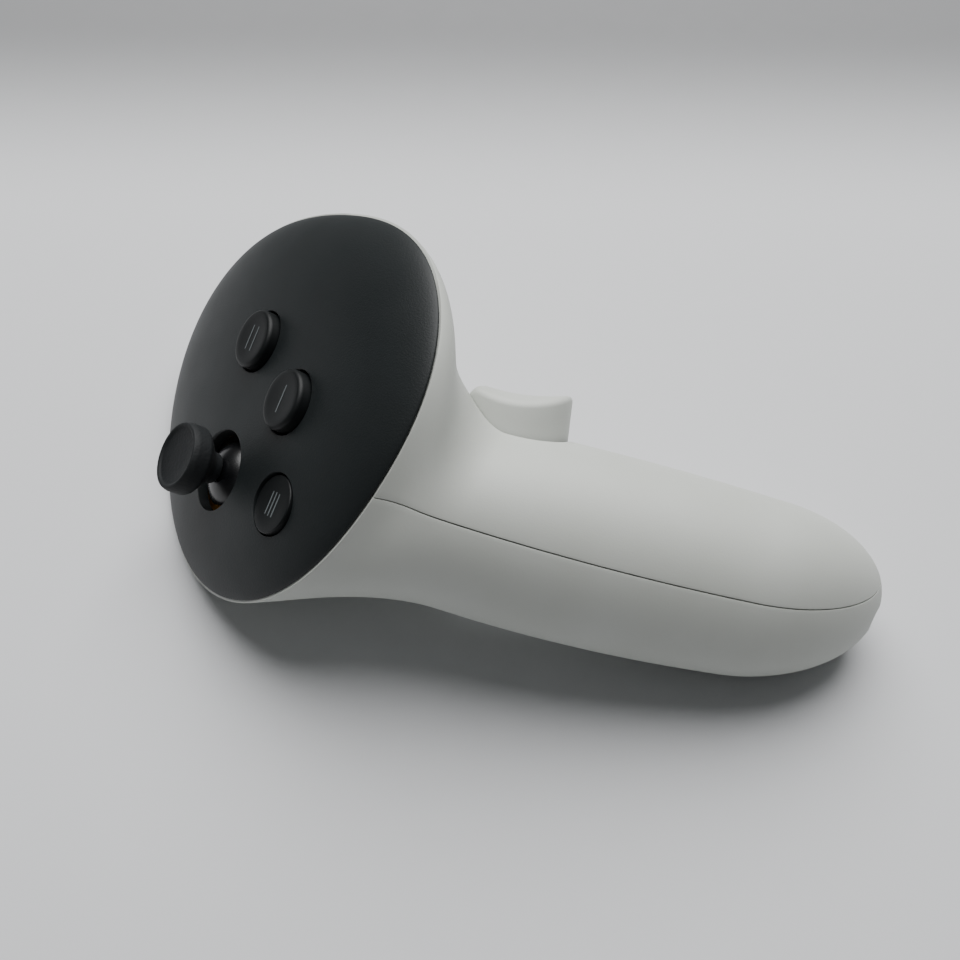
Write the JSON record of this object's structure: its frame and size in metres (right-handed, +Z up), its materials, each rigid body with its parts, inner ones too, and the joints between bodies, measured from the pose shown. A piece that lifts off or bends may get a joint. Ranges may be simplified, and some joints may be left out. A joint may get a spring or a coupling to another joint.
{
  "type": "vr motion controller",
  "caption": "Left-hand motion controller: a tilted round face with a thumbstick and buttons on a rounded handle, with an index trigger, a side grip button and a strap eye.",
  "frame": {"origin": "bottom centre of the bounding box, on the table the controller lies on", "axes": "+Z up from the table, +X along the handle towards its tail"},
  "size_m": [0.1274, 0.0626, 0.0519],
  "materials": {
    "face_plastic": "fine matte",
    "shell_plastic": "fine texture",
    "inner_plastic": "moulded",
    "black_plastic": "moulded",
    "white_plastic": "moulded",
    "cell_jacket": "printed sleeve",
    "contact_steel": "plated",
    "magnet": "nickel plated",
    "circuit_board": "solder mask",
    "flex_board": "polyimide film",
    "copper": "plain",
    "pad_rubber": "moulded",
    "stick_rubber": "grained"
  },
  "bodies": {
    "casing": {"face_plate": "face_plastic", "left_shell": "shell_plastic", "right_shell": "shell_plastic", "strap_eye": "inner_plastic", "battery_tray": "inner_plastic", "battery_cell": "cell_jacket", "contact_plus": "contact_steel", "contact_spring": "contact_steel", "main_board": "circuit_board", "main_chips": "black_plastic", "shield_can": "contact_steel", "radio_antenna": "copper", "board_screws": "contact_steel", "button_board": "circuit_board", "dome_pad": "pad_rubber", "led_ring": "flex_board", "tracking_leds": "black_plastic", "thumb_sensor": "copper", "stick_case": "contact_steel", "stick_sensor_x": "black_plastic", "stick_sensor_y": "black_plastic", "stick_click_switch": "contact_steel", "trigger_bracket": "inner_plastic", "trigger_pin": "contact_steel", "trigger_spring": "contact_steel", "trigger_sensor": "black_plastic", "grip_bracket": "inner_plastic", "grip_pin": "contact_steel", "grip_spring": "contact_steel", "grip_sensor": "black_plastic", "haptic_motor": "contact_steel", "haptic_cradle": "pad_rubber"},
    "trigger": {"index_trigger": "shell_plastic", "trigger_magnet": "magnet"},
    "grip": {"grip_button": "shell_plastic", "grip_magnet": "magnet"},
    "yoke": {"stick_yoke": "inner_plastic"},
    "rocker": {"stick_rocker": "white_plastic"},
    "stick": {"stick_shaft": "contact_steel", "stick_cap": "stick_rubber", "stick_dust_cover": "black_plastic"},
    "x_key": {"x_button": "face_plastic"},
    "y_key": {"y_button": "face_plastic"},
    "menu_key": {"menu_button": "face_plastic"},
    "door": {"battery_door": "shell_plastic"}
  },
  "joints": [
    {"name": "index_trigger_pull", "type": "hinge", "parent": "casing", "child": "trigger", "pos_m": [-0.03774, 0.00703, 0.01624], "axis": [-0.075, -0.8401, -0.5373], "range_deg": [0, 14], "stiffness_Nm_per_rad": 0.1, "springref_deg": -28.65},
    {"name": "grip_squeeze", "type": "hinge", "parent": "casing", "child": "grip", "pos_m": [-0.01031, 0.00283, 0.02827], "axis": [-0.1173, 0.5425, -0.8318], "range_deg": [0, 7], "stiffness_Nm_per_rad": 0.1, "springref_deg": -28.65},
    {"name": "stick_tilt_side", "type": "hinge", "parent": "casing", "child": "yoke", "pos_m": [-0.03631, -0.01037, 0.01367], "axis": [0.075, 0.8401, 0.5373], "range_deg": [-14, 14], "stiffness_Nm_per_rad": 0.02},
    {"name": "stick_tilt_fore", "type": "hinge", "parent": "yoke", "child": "rocker", "pos_m": [-0.03631, -0.01037, 0.01367], "axis": [-0.7611, 0.3963, -0.5134], "range_deg": [-14, 14], "stiffness_Nm_per_rad": 0.02},
    {"name": "stick_click", "type": "slide", "parent": "rocker", "child": "stick", "axis": [0.6442, 0.3705, -0.6691], "range_m": [0, 0.0004], "stiffness_N_per_m": 1500, "springref_m": -0.001},
    {"name": "x_press", "type": "slide", "parent": "casing", "child": "x_key", "axis": [0.6442, 0.3705, -0.6691], "range_m": [0, 0.0011], "stiffness_N_per_m": 600, "springref_m": -0.001},
    {"name": "y_press", "type": "slide", "parent": "casing", "child": "y_key", "axis": [0.6442, 0.3705, -0.6691], "range_m": [0, 0.0011], "stiffness_N_per_m": 600, "springref_m": -0.001},
    {"name": "menu_press", "type": "slide", "parent": "casing", "child": "menu_key", "axis": [0.6442, 0.3705, -0.6691], "range_m": [0, 0.0006], "stiffness_N_per_m": 600, "springref_m": -0.001},
    {"name": "battery_door_pull", "type": "slide", "parent": "casing", "child": "door", "axis": [-0.2088, 0.1175, -0.9709], "range_m": [0, 0.03]}
  ]
}
